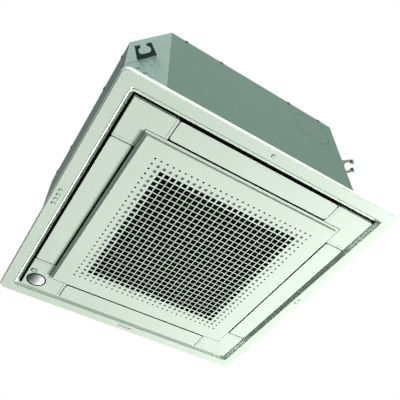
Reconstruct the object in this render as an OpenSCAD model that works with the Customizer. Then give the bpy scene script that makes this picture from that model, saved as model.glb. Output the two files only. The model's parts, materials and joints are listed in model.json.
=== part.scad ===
// Ceiling cassette air conditioner with a flat panel and four air outlets, in millimetres.
// X and Y run along the panel's sides and +Z is up. The origin is the centre of
// the four hanger slots, on the underside of their plates.
// Inside the modules heights are counted from the panel's lower face.
// Sides are numbered front 0, right 1, back 2, left 3, and corners likewise
// from front left.

/* [Casing] */
// Width of the square steel casing
case_w = 575; // [560:5:620]
// Height of the steel casing
case_h = 260; // [245:5:300]
// Leg of the cut-off corner
corner_cut = 66.2; // [60:0.1:72]
// Thickness of the casing sheet
sheet_t = 1; // [0.8:0.1:1.5]
// Thickness of the foam on the casing's inside
foam_t = 8; // [5:1:10]
// Height of the hanger plates above the panel's lower face
hanger_h = 200; // [180:1:215]

/* [Panel] */
// Height of the panel, from its lower face to the casing
panel_h = 46; // [44:1:55]
// Width of the flat rim outside the bevel
rim_w = 26.5; // [22:0.5:34]
// Thickness of the rim at its outer edge
rim_t = 8; // [7:0.5:12]
// Radius of the rim's outer corners
rim_corner_r = 14; // [9:1:22]
// Width of the bevel inside the rim
bevel_w = 7.5; // [6:0.5:9]
// Rise of the bevel
bevel_h = 5; // [3:0.5:6]
// Thickness of the moulded panel walls
wall_t = 3; // [2:0.5:4]
// Steel casing outside the air slots, on each side
slot_margin = 11.5; // [11:0.5:16]

/* [Flaps] */
// Length of a flap
flap_length = 360; // [330:5:364]
// Width of a flap
flap_w = 42.3; // [40:0.1:46]
// Thickness of a flap's plate
flap_t = 2.5; // [2:0.1:3]
// Gap between a flap and the bevel
groove_w = 5.7; // [4:0.1:7]
// Gap between a flap and the grille
flap_gap = 4; // [2.8:0.1:4.6]
// Height of a flap's hinge axis above the panel's lower face
flap_axis_h = 6; // [5.6:0.1:6.4]
// Distance of a flap's hinge axis from its inner edge
flap_axis_in = 5.8; // [5.4:0.1:6.6]
// Radius of a flap's pins
flap_pin_r = 2; // [1.5:0.1:2.2]

/* [Grille] */
// Drop of the grille's face below the panel's lower face
grille_drop = 4.3; // [3:0.1:5]
// Thickness of the grille's face
grille_t = 2.5; // [2:0.1:3]
// Spacing of the grille's holes
hole_pitch = 12.95; // [12:0.05:13.4]
// Holes along each side of the grille
hole_count = 29; // [21:2:29]
// Width of the square holes in the middle
hole_w = 11.2; // [9.6:0.1:11.6]
// Diameter of the round holes of the outermost row
dot_d = 4.2; // [2:0.1:4.8]
// Radius of the grille's hinge pins
hinge_pin_r = 2; // [1.5:0.1:2.2]
// Travel of a grille latch
latch_travel = 12; // [10:0.5:14]

/* [Hangers] */
// Distance of the hanger slot's centre outside the casing's cut corner
slot_reach = 17.15; // [16:0.05:20]
// Width of the hanger slot, along the corner
slot_w = 25; // [22:0.5:28]
// Depth of the hanger slot, square to the corner
slot_d = 13.5; // [12:0.5:15]
// Width of the hanger slot's mouth
mouth_w = 13; // [12:0.5:13]
// Thickness of the hanger's steel
hanger_t = 2; // [1.5:0.5:3]

/* [Fan and coil] */
// Outer radius of the fan
fan_r = 165; // [155:1:172]
// Radius of the fan's inlet
eye_r = 122; // [116:1:126]
// Number of fan blades
blade_count = 7; // [5:1:9]
// Radius of the fan's shaft
shaft_r = 4; // [3:0.5:6]
// Radius of the fan motor
motor_r = 62; // [50:1:68]
// Thickness of the heat exchanger
coil_t = 26; // [22:1:28]
// Height of the foam drain pan
pan_h = 40; // [36:1:46]
// Depth of the drain pan's trough
trough_d = 22; // [16:1:26]

/* [Connections] */
// Radius of the gas pipe
gas_r = 6.35; // [5:0.01:7.94]
// Radius of the gas union's thread
gas_thread_r = 9.525; // [8:0.01:11.2]
// Length of the gas union's thread
gas_thread_l = 18; // [12:1:22]
// Radius of the liquid pipe
liquid_r = 3.175; // [3:0.01:4.76]
// Radius of the liquid union's thread
liquid_thread_r = 5.555; // [5.5:0.01:7.94]
// Length of the liquid union's thread
liquid_thread_l = 14; // [10:1:18]
// Outer radius of the drain socket
drain_r = 13; // [12:0.5:16]
// Length of the drain socket outside the casing
drain_l = 25; // [20:1:40]
// Radius of the hole in the cable bush
cable_r = 5.5; // [4:0.1:6]

/* [Hidden] */
$fn = 48;

// One overrun serves all cuts, and the two clearances serve all fits
cut = 1;
run_gap = 0.05;
fit_gap = 0.1;
sliver = 0.01;

// Half widths of the panel, from the outside in
case_half = case_w / 2;
case_diag = (2 * case_half - corner_cut) / sqrt(2);
face_half = case_half - corner_cut;
slot_out = case_half - slot_margin;
rim_in = slot_out + bevel_w;
panel_half = rim_in + rim_w;
flap_out = slot_out - groove_w;
flap_in = flap_out - flap_w;
grille_half = flap_in - flap_gap;

// Panel frame
rim_face_t = 3;
edge_round = 2;
lip_t = 4;
collar_w = 10.5;
seal_t = 4;
seal_side = 1;
wall_top = panel_h - seal_t;
cover_gap = 1.2;
cover_in = grille_half + cover_gap;
inner_gap = 1.32;
inner_wall_in = grille_half + inner_gap;
inner_wall_t = 2;
inner_wall_out = inner_wall_in + inner_wall_t;
inner_wall_h = 13.5;
end_gap = 2;
rib_t = 5;
rib_in = flap_length / 2 + end_gap;
rib_out = rib_in + rib_t;
rib_rise = 14;
deck_h = 26;
deck_t = 2.5;
panel_screw_in = 36;
panel_screw_at = slot_out - panel_screw_in;
panel_screw_r = 2.5;
screw_gap = 0.2;
mark_w = 5.5;
mark_h = 0.7;
mark_pitch = 12.4;
mark_at = rim_in + rim_w / 2;

// Flap details
flap_axis = flap_in + flap_axis_in;
flap_corner_r = 4;
cheek_t = 3;
cheek_r = 3.8;
pin_l = 6;
drive_pin_l = 12;
flap_rib_t = 2;
flap_rib_h = 3;
bush_r = 3.4;
bush_flange_r = 4.4;
bush_flange_t = 0.8;
step_motor_r = 9;
step_motor_l = 18;
step_motor_rise = 11.4;
step_motor_at = flap_axis + 3.8;
step_boss_r = 4;
step_boss_l = 0.8;
step_ear_w = 6;

// Corner covers and the sensor
seam = 0.6;
cover_t = 2.2;
cover_skirt_t = 1.6;
cover_skirt_h = 9;
post_r = 3;
cover_start = rib_out + seam;
post_out = 15.3;
post_in = 17.4;
post_far = flap_out - post_out;
post_near = cover_start + post_in;
sensor_in = [24.4, 25.6];
sensor_at = [flap_out - sensor_in[0], flap_out - sensor_in[1]];
sensor_r = 21;
sensor_ring_t = 2.2;
sensor_flange = 1.5;
sensor_ring_h = 6;
sensor_proud = 0.6;
dome_h = 3.4;
lens_in = [32.2, 10.6];
lens_at = [cover_start + lens_in[0], flap_out - lens_in[1]];
lens_r = 6.5;
lens_h = 4;
lens_proud = 0.5;

// Grille section
face_step = 6.8;
ledge_step = 5;
ledge_drop = 1.2;
skirt_t = 2;
skirt_h = 3;
cavity_h = 1.2;
face_wall = 1.7;
back_h = grille_t - grille_drop;
grille_face = grille_half - face_step;
grille_ledge = grille_half - ledge_step;
lattice_half = (hole_count - 1) / 2;
plate_half = hole_count * hole_pitch / 2;
row_one_w = 6;
row_two_w = 9.4;
small_rows = 3;
open_count = hole_count - 2 * small_rows;
bar_w = hole_pitch - hole_w;
bar_t = (grille_t - run_gap) / 2;
open_half = (open_count * hole_pitch - bar_w) / 2;

// Grille hinge, on the front side
hinge_in = 10;
hinge_at = grille_half - hinge_in;
hinge_h = 4;
hook_x = 150;
hook_w = 8;
hook_top = 20;
hook_bar_t = 4;
hook_out = 0.6;
hook_back = 6;
hook_boss_r = 3.6;
ear_t = 3;
ear_gap = 0.5;
ear_r = 3.5;
ear_back = 4;
ear_x = hook_w / 2 + ear_gap;

// Grille latches, on the back side
latch_x = 120;
latch_w = 10;
latch_t = 2;
latch_in = 200;
finger_in = 206;
finger_t = 3;
finger_top = 19.6;
tongue_t = 2.8;
tongue_out = 220;
keeper_w = 12;
keeper_t = 3;
keeper_in = 212;
latch_gap = 0.3;
knob_w = 8;
knob_h = 2;
knob_out = 1.6;

// Filter
filter_half = 198;
filter_window = 162.5;
filter_h = 1;
filter_t = 5;
filter_bar_w = 3;
filter_mesh_t = 0.8;
filter_post_w = 12;

// Casing
case_top = panel_h + case_h;
top_drop = 1;
plate_top = case_top - top_drop;
foam_in = sheet_t + foam_t;
ceiling_foam = plate_top - sheet_t - foam_t;
flange_w = 11;
plate_gap = 0.3;
plate_end = face_half - 2 * plate_gap;
bead_w = 14;
bead_r = 4;
bead_l = 150;
bead_in = 110;
knockout_x = 148.6;
knockout_z = 236;
knockout_r = 50;
knockout_slot = 0.8;
knockout_tab = 6;
knockout_hole_r = 1.6;
knockout_hole_at = 45;
case_screw_r = 2;
case_screw_head_r = 4;
case_screw_head_t = 1.6;
case_screw_top = 301;
case_screw_low = 56;
case_screw_x = [94, 184];
case_screw_edge = 205;

// Hanger brackets
hanger_diag = case_diag + slot_reach;
flange_half = 21;
flange_low = 93;
tip_reach = 14;
tip_half = 17;
lip_drop = 4;
hanger_hole_r = 2.5;
hanger_hole_drop = 21;
hanger_slot_drop = 72;
hanger_slot_w = 11;
hanger_slot_t = 4;
hanger_screw_x = 13;
hanger_screw_drop = [40, 92];

// Drain pan and duct
duct_in = inner_wall_out + 2.6;
duct_out = slot_out - 2;
duct_half = 170;
pan_top = panel_h + pan_h;
trough_h = pan_top - trough_d;
coil_out = duct_in - 8;
coil_in = coil_out - coil_t;
coil_corner_r = 50;
trough_gap = 3;
trough_side = 8;
pan_hole_gap = 3;
sump_r = 38;
sump_at = 205;
channel_r = 6.2;
channel_h = 9;
channel_y = 185;
channel_end = 205;

// Bell mouth and fan
bell_t = 2.5;
bell_plate_t = 3;
bell_plate_half = grille_half - 6;
bell_throat = eye_r - 5;
bell_in = 15;
bell_out = fan_r - bell_in;
bell_top = 72;
bell_low = panel_h - bell_plate_t;
curve_steps = 12;
quarter = 90;
eye_lap = 6;
eye_h = bell_top - eye_lap;
shroud_h = 34;
shroud_t = 2.4;
hub_t = 3;
cup_top_r = 80;
cup_low_r = 30;
cup_h = 36;
boss_r = 14;
boss_h = 22;
blade_t = 5;
blade_in = 112;
blade_sweep = 34;
blade_angle = 55;
blade_peak = 0.7;
blade_taper = 1.5;
blade_gap = 2;
blade_low = bell_top + blade_gap;
motor_h = 56;
motor_neck_r = 24;
motor_neck_h = 5;
nut_r = 8;
nut_h = 7;
shaft_tail = 10;
bracket_r = 92;
bracket_t = 3;
mount_h = 22;
hub_gap = 11;
motor_low = ceiling_foam - mount_h - bracket_t - motor_h;
hub_h = motor_low - hub_gap;
mount_at = 56;
mount_r = 9;
stud_r = 5;
foam_hole_gap = 2;

// Heat exchanger
coil_end = 130;
end_plate_t = 1.5;
end_plate_lip = 2;
tube_r = 3.5;
bend_r = 10.5;
bend_low = 26.5;
bend_pitch = 42;
bend_count = 5;
row_share = 0.25;

// Refrigerant pipes, on the right side
header_x = 158;
gas_header_r = 8;
gas_header_top = 250;
gas_z = 94;
gas_y = 180;
gas_bend_r = 14;
liquid_header_r = 5;
liquid_header_low = 112;
liquid_z = 140;
stub_low = 111.5;
stub_pitch = 42;
stub_count = 4;
pipe_wall = 1;
pipe_clear = 1.5;
hex_l = 10;
gas_hex_r = 15.6;
liquid_hex_r = 9.2;
union_gap = 1.5;

// Drain pump and float switch, in the back right corner
pump_at = sump_at;
pump_motor_r = 26;
pump_motor_low = 190;
pump_motor_h = 45;
pump_neck_r = 10;
pump_cup_r = 14;
pump_cup_low = 68;
pump_cup_h = 30;
pump_cup_t = 2;
pump_hole_r = 6;
impeller_r = 10.5;
impeller_low = 74;
impeller_h = 14;
vane_t = 2;
vane_count = 4;
pump_shaft_r = 2;
pump_shaft_top = 200;
pump_bore_top = 205;
outlet_z = 165;
outlet_r = 10;
outlet_wall = 2.5;
outlet_l = 34;
hose_t = 3;
socket_tail = 24;
socket_flange_r = 20;
socket_flange_t = 3;
pump_leg_r = 4;
pump_leg_at = 13;
pump_plate_t = 2;
float_x = 26;
float_r = 9;
float_stem_r = 2.5;
float_h = 12;
float_low = 69;
float_stop_r = 4;
float_stop_t = 1.5;
float_ring_h = 116;
float_ring_t = 6;
float_arm_w = 8;

// Electric box, under the bell mouth's plate on the right side
box_in = 153;
box_out = 213;
box_half = 100;
box_h = 22;
box_wall = 1.2;
box_lip = 2;
board_w = 46;
board_l = 112;
board_t = 1.6;
board_drop = 8;
board_end_gap = 12;
board_shift = board_end_gap + board_l / 2 - box_half;
board_foot_share = [0.42, 0.45];
part_h = 7;
terminal_l = 52;
terminal_w = 22;
terminal_h = 13;
terminal_shift = box_half - board_end_gap - terminal_l / 2;
bush_hole_r = 9;
bush_l = 9;
cable_flange_r = 13;
cable_flange_t = 3;
thermistor_at = -185;
thermistor_w = 14;
thermistor_h = 7;
probe_r = 2.2;
probe_l = 22;

// Places and plain shapes
module place() translate([0, 0, -hanger_h]) children();
module turn(k) rotate([0, 0, 180 + 90 * k]) children();
module diagonal(k) rotate([0, 0, 225 + 90 * k]) children();

module slab(half, low, high)
    translate([-half, -half, low])
        cube([2 * half, 2 * half, high - low]);

module square_ring(outer, inner, low, high)
    difference() {
        slab(outer, low, high);
        slab(inner, low - cut, high + cut);
    }

module box(x, y, z)
    translate([x[0], y[0], z[0]])
        cube([x[1] - x[0], y[1] - y[0], z[1] - z[0]]);

module drum(r, low, high)
    translate([0, 0, low])
        cylinder(r = r, h = high - low);

module rod_x(r, x0, x1, y, z)
    translate([x0, y, z])
        rotate([0, 90, 0])
            cylinder(r = r, h = x1 - x0);

module rod_y(r, x, y0, y1, z)
    translate([x, y0, z])
        rotate([-90, 0, 0])
            cylinder(r = r, h = y1 - y0);

module rounded(width, depth, r) {
    square([width, depth - 2 * r], center = true);
    square([width - 2 * r, depth], center = true);
    for (x = [-1, 1], y = [-1, 1])
        translate([x * (width / 2 - r), y * (depth / 2 - r)])
            circle(r = r);
}

module round_slab(half, r, low, high)
    translate([0, 0, low])
        linear_extrude(high - low)
            rounded(2 * half, 2 * half, r);

function octagon(inset) =
    let (flat = case_half - inset, near = (case_diag - inset) * sqrt(2) - flat)
    [[flat, near], [near, flat], [-near, flat], [-flat, near],
     [-flat, -near], [-near, -flat], [near, -flat], [flat, -near]];

module octagon_slab(inset, low, high)
    translate([0, 0, low])
        linear_extrude(high - low)
            polygon(octagon(inset));

module octagon_ring(outset, inset, low, high)
    difference() {
        octagon_slab(outset, low, high);
        octagon_slab(inset, low - cut, high + cut);
    }

// Panel
module rim_plate()
    difference() {
        union() {
            hull() {
                round_slab(panel_half - edge_round, rim_corner_r - edge_round, 0, sliver);
                round_slab(panel_half, rim_corner_r, edge_round, rim_face_t);
            }
            difference() {
                round_slab(panel_half, rim_corner_r, edge_round, rim_t);
                round_slab(panel_half - lip_t, rim_corner_r - lip_t, rim_face_t, rim_t + cut);
            }
            slab(slot_out + collar_w, 0, rim_t);
        }
        hull() {
            slab(rim_in, -cut, 0);
            slab(slot_out, bevel_h, rim_t + cut);
        }
    }

module duct_end(dir)
    mirror([dir < 0 ? 1 : 0, 0, 0]) {
        box([rib_in, rib_out], [cover_in, flap_out], [0, wall_top]);
        box([rib_in, rib_out], [cover_in, slot_out + wall_t / 2], [rib_rise, wall_top]);
    }

module corner_deck()
    difference() {
        box([rib_in, slot_out + wall_t / 2], [rib_in, slot_out + wall_t / 2], [deck_h, deck_h + deck_t]);
        slab(inner_wall_in, deck_h - cut, deck_h + deck_t + cut);
        translate([panel_screw_at, panel_screw_at, 0])
            drum(panel_screw_r + screw_gap, deck_h - cut, deck_h + deck_t + cut);
    }

module rim_marks(count)
    for (i = [0 : count - 1])
        translate([(i - (count - 1) / 2) * mark_pitch, mark_at, 0])
            box([-mark_w / 2, mark_w / 2], [-mark_w / 2, mark_w / 2], [-mark_h, edge_round]);

module hinge_hook(x)
    translate([x, 0, 0])
        difference() {
            union() {
                box([-hook_w / 2, hook_w / 2], [hinge_at - hook_back, inner_wall_out],
                    [hook_top - hook_bar_t, hook_top]);
                box([-hook_w / 2, hook_w / 2], [hinge_at - hook_back, hinge_at + hook_out],
                    [hinge_h, hook_top]);
                rod_x(hook_boss_r, -hook_w / 2, hook_w / 2, hinge_at, hinge_h);
            }
            rod_x(hinge_pin_r + run_gap, -hook_w, hook_w, hinge_at, hinge_h);
        }

module keeper(x)
    box([x - keeper_w / 2, x + keeper_w / 2], [keeper_in, inner_wall_out],
        [inner_wall_h, inner_wall_h + keeper_t]);

module panel_frame()
    color("honeydew") place() {
        difference() {
            union() {
                rim_plate();
                square_ring(slot_out + wall_t, slot_out, bevel_h, wall_top);
                square_ring(inner_wall_out, inner_wall_in, inner_wall_h, wall_top);
                for (k = [0 : 3])
                    turn(k) {
                        duct_end(1);
                        duct_end(-1);
                        corner_deck();
                        rim_marks(k + 1);
                    }
            }
            for (k = [0 : 3])
                turn(k)
                    for (dir = [-1, 1])
                        mirror([dir < 0 ? 1 : 0, 0, 0])
                            rod_x(bush_r + run_gap, rib_in - cut, rib_out + cut, flap_axis, flap_axis_h);
        }
        turn(0)
            for (dir = [-1, 1])
                hinge_hook(dir * hook_x);
        turn(2)
            for (dir = [-1, 1])
                keeper(dir * latch_x);
    }

module panel_seals()
    color("dimgray") place() {
        square_ring(slot_out + wall_t + seal_side, slot_out - seal_side, wall_top, panel_h);
        square_ring(inner_wall_out + seal_side, inner_wall_in - seal_side, wall_top, panel_h);
    }

module panel_screws()
    color("silver") place()
        for (k = [0 : 3])
            turn(k)
                translate([panel_screw_at, panel_screw_at, 0]) {
                    drum(panel_screw_r, deck_h - sliver, panel_h + pan_h / 2);
                    drum(2 * panel_screw_r, deck_h - panel_screw_r, deck_h);
                }

// Flaps
module flap_shape() {
    translate([0, (flap_in + flap_out) / 2, 0])
        linear_extrude(flap_t)
            rounded(flap_length, flap_w, flap_corner_r);
    box([-flap_length / 2 + flap_w, flap_length / 2 - flap_w],
        [flap_out - flap_w / 2, flap_out - flap_w / 2 + flap_rib_t],
        [flap_t - sliver, flap_t + flap_rib_h]);
    for (dir = [-1, 1])
        mirror([dir < 0 ? 1 : 0, 0, 0]) {
            box([flap_length / 2 - flap_corner_r - cheek_t, flap_length / 2 - flap_corner_r],
                [flap_axis - cheek_r, flap_axis + cheek_r], [flap_t - sliver, flap_axis_h]);
            rod_x(cheek_r, flap_length / 2 - flap_corner_r - cheek_t, flap_length / 2 - flap_corner_r,
                  flap_axis, flap_axis_h);
            rod_x(flap_pin_r, flap_length / 2 - flap_corner_r - sliver,
                  flap_length / 2 + (dir < 0 ? pin_l : drive_pin_l), flap_axis, flap_axis_h);
        }
}

module flap(k)
    color("honeydew") place() turn(k) flap_shape();
module flap_front() flap(0);
module flap_right() flap(1);
module flap_back() flap(2);
module flap_left() flap(3);

module flap_bushes()
    color("ivory") place()
        for (k = [0 : 3], dir = [-1, 1])
            turn(k)
                mirror([dir < 0 ? 1 : 0, 0, 0])
                    difference() {
                        union() {
                            rod_x(bush_r, rib_in, rib_out, flap_axis, flap_axis_h);
                            rod_x(bush_flange_r, rib_in - bush_flange_t, rib_in, flap_axis, flap_axis_h);
                        }
                        rod_x(flap_pin_r + run_gap, rib_in - bush_flange_t - cut, rib_out + cut,
                              flap_axis, flap_axis_h);
                    }

module step_motor()
    difference() {
        union() {
            rod_x(step_motor_r, rib_out + step_boss_l, rib_out + step_boss_l + step_motor_l,
                  step_motor_at, step_motor_rise);
            rod_x(step_boss_r, rib_out, rib_out + 2 * step_boss_l, flap_axis, flap_axis_h);
            box([rib_out + step_boss_l, rib_out + step_motor_l],
                [step_motor_at - step_ear_w / 2, step_motor_at + step_ear_w / 2],
                [step_motor_rise, deck_h]);
        }
        rod_x(flap_pin_r + run_gap, rib_out - cut, rib_out + drive_pin_l, flap_axis, flap_axis_h);
    }

module flap_motors()
    color("gainsboro") place()
        for (k = [0 : 3])
            turn(k)
                step_motor();

// Corner covers
module cover_posts(places)
    for (p = places)
        translate([p[0], p[1], 0])
            drum(post_r, cover_t - sliver, deck_h);

module cover_shape(places) {
    difference() {
        union() {
            box([cover_start, flap_out], [cover_start, flap_out], [0, cover_t]);
            difference() {
                box([cover_start + cover_skirt_t, flap_out], [cover_start + cover_skirt_t, flap_out],
                    [0, cover_skirt_h]);
                box([cover_start, flap_out - cover_skirt_t], [cover_start, flap_out - cover_skirt_t],
                    [cover_t, cover_skirt_h + cut]);
            }
        }
        slab(cover_in, -cut, cover_skirt_h + cut);
    }
    cover_posts(places);
}

side_posts = [[post_far, post_near], [post_near, post_far]];
all_posts = [[post_far, post_near], [post_near, post_far], [post_far, post_far]];

module corner_cover(k)
    color("honeydew") place() turn(k) cover_shape(all_posts);
module corner_cover_front_left() corner_cover(0);
module corner_cover_front_right() corner_cover(1);
module corner_cover_back_right() corner_cover(2);

module sensor_cover()
    color("honeydew") place() turn(3)
        difference() {
            cover_shape(side_posts);
            translate([sensor_at[0], sensor_at[1], 0])
                drum(sensor_r + fit_gap, -cut, cover_t + cut);
            translate([lens_at[0], lens_at[1], 0])
                drum(lens_r + fit_gap, -cut, cover_t + cut);
        }

module sensor_ring()
    color("black") place() turn(3)
        translate([sensor_at[0], sensor_at[1], 0])
            difference() {
                union() {
                    drum(sensor_r, -sensor_proud, sensor_ring_h);
                    drum(sensor_r + sensor_flange, cover_t, cover_t + sensor_ring_t);
                }
                drum(sensor_r - sensor_ring_t, -sensor_proud - cut, sensor_ring_h - sensor_ring_t);
            }

module sensor_dome() {
    rim_r = sensor_r - sensor_ring_t - fit_gap;
    ball_r = (rim_r * rim_r + dome_h * dome_h) / (2 * dome_h);
    color("darkseagreen") place() turn(3)
        translate([sensor_at[0], sensor_at[1], 0])
            rotate_extrude($fn = 64)
                intersection() {
                    translate([0, ball_r - dome_h])
                        circle(r = ball_r, $fn = 360);
                    translate([0, -dome_h - cut])
                        square([rim_r, dome_h + cut + sensor_ring_h - sensor_ring_t]);
                }
}

module receiver_lens()
    color("palegreen") place() turn(3)
        translate([lens_at[0], lens_at[1], 0]) {
            drum(lens_r, -lens_proud, lens_h);
            drum(lens_r + lens_proud, cover_t, lens_h);
        }

// Grille
module small_hole(row)
    if (row == 0)
        circle(d = dot_d, $fn = 24);
    else
        square(row == 1 ? row_one_w : row_two_w, center = true);

// The three outer rows are cut in a plate, and bars cross in its open middle
module grille_plate()
    translate([0, 0, -grille_drop])
        linear_extrude(grille_t)
            difference() {
                square(2 * plate_half, center = true);
                square(2 * open_half, center = true);
                for (i = [-lattice_half : lattice_half], j = [-lattice_half : lattice_half])
                    if (max(abs(i), abs(j)) > lattice_half - small_rows)
                        translate([i * hole_pitch, j * hole_pitch])
                            small_hole(lattice_half - max(abs(i), abs(j)));
            }

module grille_bars()
    for (i = [1 : open_count - 1]) {
        at = (i - open_count / 2) * hole_pitch;
        box([-open_half, open_half], [at - bar_w / 2, at + bar_w / 2],
            [-grille_drop, bar_t - grille_drop]);
        box([at - bar_w / 2, at + bar_w / 2], [-open_half, open_half], [back_h - bar_t, back_h]);
    }

module hinge_ear()
    difference() {
        union() {
            box([0, ear_t], [hinge_at - ear_back, hinge_at + ear_r], [back_h - sliver, hinge_h]);
            rod_x(ear_r, 0, ear_t, hinge_at, hinge_h);
        }
        rod_x(hinge_pin_r + run_gap, -cut, ear_t + cut, hinge_at, hinge_h);
    }

module latch_slot(x)
    box([x - knob_w / 2 - latch_gap, x + knob_w / 2 + latch_travel + latch_gap],
        [grille_face - face_wall - cut, grille_half + cut],
        [back_h - latch_gap - knob_h / 2, back_h + knob_h / 2 + latch_gap]);

module grille_body()
    difference() {
        union() {
            hull() {
                slab(grille_face, -grille_drop, sliver - grille_drop);
                slab(grille_ledge, -ledge_drop, sliver - ledge_drop);
            }
            hull() {
                slab(grille_ledge, -ledge_drop, sliver - ledge_drop);
                slab(grille_half, 0, sliver);
            }
            slab(grille_half, 0, skirt_h);
        }
        hull() {
            slab(grille_face - face_wall, back_h, back_h + sliver);
            slab(grille_half - skirt_t, cavity_h, skirt_h + cut);
        }
    }

module intake_grille()
    color("honeydew") place() {
        difference() {
            grille_body();
            slab(plate_half, -grille_drop - cut, back_h + cut);
            turn(2)
                for (x = [-latch_x - latch_travel, latch_x])
                    latch_slot(x);
        }
        grille_plate();
        grille_bars();
        turn(0)
            for (dir = [-1, 1], end = [-1, 1])
                translate([dir * hook_x, 0, 0])
                    mirror([end < 0 ? 1 : 0, 0, 0])
                        translate([ear_x, 0, 0])
                            hinge_ear();
        for (k = [0 : 3])
            turn(k)
                box([filter_half - filter_post_w, filter_half],
                    [filter_half - filter_post_w, filter_half], [back_h - sliver, filter_h]);
    }

module grille_hinge_pins()
    color("silver") place() turn(0)
        for (dir = [-1, 1])
            rod_x(hinge_pin_r, dir * hook_x - ear_x - ear_t, dir * hook_x + ear_x + ear_t,
                  hinge_at, hinge_h);

// A latch's tongue lies over its keeper, and its knob stands out of the grille's edge
module latch(dir)
    color("lightgray") place() turn(2)
        mirror([dir < 0 ? 1 : 0, 0, 0])
            translate([latch_x, 0, 0]) {
                box([-latch_w / 2, latch_w / 2], [latch_in, grille_face - face_wall - latch_gap],
                    [back_h + latch_gap, back_h + latch_gap + latch_t]);
                box([-latch_w / 2, latch_w / 2], [finger_in, finger_in + finger_t],
                    [back_h + latch_gap, finger_top]);
                box([-latch_w / 2, latch_w / 2], [finger_in, tongue_out],
                    [finger_top - tongue_t, finger_top]);
                box([-knob_w / 2, knob_w / 2],
                    [grille_face - face_wall - 2 * latch_gap, grille_ledge + knob_out],
                    [back_h + latch_gap, back_h + knob_h / 2]);
            }

module latch_left() latch(-1);
module latch_right() latch(1);

module filter_frame()
    color("gray") place() {
        square_ring(filter_half, filter_window, filter_h, filter_h + filter_t);
        for (p = [-1, 1]) {
            box([-filter_window - cut, filter_window + cut],
                [p * filter_window / 3 - filter_bar_w / 2, p * filter_window / 3 + filter_bar_w / 2],
                [filter_h, filter_h + filter_t / 2 - filter_mesh_t]);
            box([p * filter_window / 3 - filter_bar_w / 2, p * filter_window / 3 + filter_bar_w / 2],
                [-filter_window - cut, filter_window + cut],
                [filter_h, filter_h + filter_t / 2 - filter_mesh_t]);
        }
    }

module filter_mesh()
    color("dimgray") place()
        slab(filter_window, filter_h + filter_t / 2 - filter_mesh_t, filter_h + filter_t / 2);

// Casing
module plate_holes() {
    for (x = case_screw_x, dir = [-1, 1])
        rod_y(case_screw_r + fit_gap, dir * x, case_half - sheet_t - cut, case_half + cut, case_screw_top);
    for (dir = [-1, 1])
        rod_y(case_screw_r + fit_gap, dir * case_screw_edge, case_half - sheet_t - cut,
              case_half + cut, case_screw_low);
}

module side_plate(k)
    place() turn(k)
        difference() {
            union() {
                box([-plate_end, plate_end], [case_half - sheet_t, case_half], [panel_h, plate_top]);
                box([-plate_end + flange_w, plate_end - flange_w], [case_half - flange_w, case_half],
                    [panel_h, panel_h + sheet_t]);
            }
            plate_holes();
        }

module knockout()
    translate([-knockout_x, case_half - sheet_t / 2, knockout_z])
        rotate([90, 0, 0]) {
            difference() {
                cylinder(r = knockout_r, h = 2 * sheet_t, center = true);
                cylinder(r = knockout_r - knockout_slot, h = 3 * sheet_t, center = true);
                for (a = [0, 90])
                    rotate([0, 0, a])
                        cube([3 * knockout_r, knockout_tab, 3 * sheet_t], center = true);
            }
            for (x = [-1, 1], y = [-1, 1])
                translate([x * knockout_hole_at, y * knockout_hole_at, 0])
                    cylinder(r = knockout_hole_r, h = 2 * sheet_t, center = true);
        }

module side_plate_front()
    color("darkseagreen")
        difference() {
            side_plate(0);
            place() turn(0) knockout();
        }

module side_plate_right()
    color("darkseagreen")
        difference() {
            side_plate(1);
            place() {
                rod_x(gas_r + pipe_clear, case_half - flange_w, case_half + cut, gas_y, gas_z);
                rod_x(liquid_r + pipe_clear, case_half - flange_w, case_half + cut, header_x, liquid_z);
                rod_x(bush_hole_r + fit_gap, case_half - flange_w - cut, case_half + cut, -channel_y,
                      panel_h + channel_h);
            }
        }

module side_plate_back()
    color("darkseagreen")
        difference() {
            side_plate(2);
            place()
                rod_y(drain_r + fit_gap, pump_at, case_half - flange_w, case_half + cut, outlet_z);
        }

module side_plate_left()
    color("darkseagreen") side_plate(3);

module corner_plates()
    color("powderblue") place()
        for (k = [0 : 3])
            difference() {
                intersection() {
                    octagon_ring(0, sheet_t, panel_h, plate_top);
                    turn(k)
                        box([plate_end + plate_gap, case_half], [plate_end + plate_gap, case_half],
                            [panel_h, plate_top]);
                }
                diagonal(k)
                    for (x = [-1, 1], drop = hanger_screw_drop)
                        rod_x(case_screw_r + fit_gap, case_diag - sheet_t - cut, case_diag + cut,
                              x * hanger_screw_x, hanger_h - drop);
            }

module top_plate()
    color("lightsteelblue") place() {
        octagon_slab(sheet_t + plate_gap, plate_top - sheet_t, plate_top);
        for (k = [0 : 3])
            turn(k) {
                translate([0, bead_in + bead_l / 2, plate_top - sheet_t / 2])
                    linear_extrude(top_drop + sheet_t / 2)
                        rounded(bead_w, bead_l, bead_r);
                translate([mount_at, mount_at, 0])
                    drum(stud_r, ceiling_foam, plate_top - sheet_t / 2);
            }
    }

module case_screw(length)
    rotate([-90, 0, 0]) {
        cylinder(r = case_screw_r, h = length + sliver);
        translate([0, 0, length])
            cylinder(r = case_screw_head_r, h = case_screw_head_t);
    }

module case_screws()
    color("silver") place()
        for (k = [0 : 3]) {
            turn(k) {
                for (x = case_screw_x, dir = [-1, 1])
                    translate([dir * x, case_half - sheet_t, case_screw_top])
                        case_screw(sheet_t);
                for (dir = [-1, 1])
                    translate([dir * case_screw_edge, case_half - sheet_t, case_screw_low])
                        case_screw(sheet_t);
            }
            diagonal(k)
                for (x = [-1, 1], drop = hanger_screw_drop)
                    translate([case_diag - sheet_t, x * hanger_screw_x, hanger_h - drop])
                        rotate([0, 0, -90])
                            case_screw(sheet_t + hanger_t);
        }

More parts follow.
